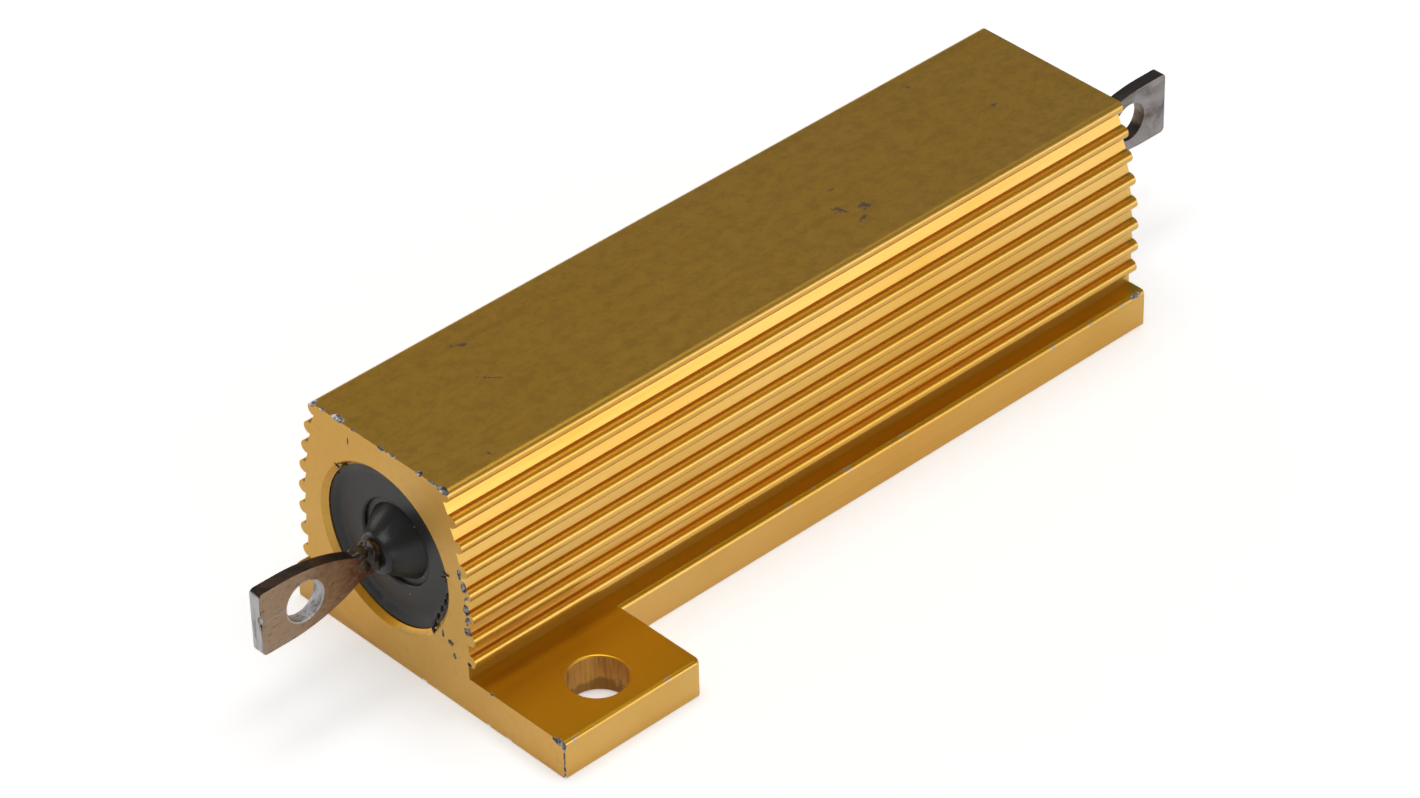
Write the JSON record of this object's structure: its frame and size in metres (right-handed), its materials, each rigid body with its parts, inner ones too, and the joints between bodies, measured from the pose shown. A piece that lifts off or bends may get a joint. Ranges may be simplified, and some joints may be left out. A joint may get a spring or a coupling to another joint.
{
  "type": "aluminium housed power resistor",
  "caption": "Wirewound power resistor in a finned, gold-anodised aluminium housing with diagonal screw tabs and solder lugs at both ends.",
  "frame": {"origin": "centre of the mounting face, under the middle of the body", "axes": "+X across the body, +Y along the body towards the rear terminal, +Z away from the mounting face"},
  "size_m": [0.027, 0.0667, 0.0139],
  "materials": {
    "anodised_aluminium": "satin gold anodising, chipped to bare metal at some edges",
    "black_moulding": "matt, slightly grey, with moulding flash at the edge",
    "white_ceramic": "unglazed",
    "resistance_alloy": "drawn wire, plain",
    "cap_steel": "pressed, plain",
    "stained_lug": "heat-tinted and flux-stained strip with bare cut edges",
    "tinned_lug": "dull tinned strip with a darker edge"
  },
  "bodies": {
    "root": {"housing": "anodised_aluminium", "moulded_body": "black_moulding", "ceramic_core": "white_ceramic", "resistance_wire": "resistance_alloy", "end_cap_front": "cap_steel", "end_cap_rear": "cap_steel", "terminal_front": "stained_lug", "terminal_rear": "tinned_lug"}
  },
  "joints": []
}
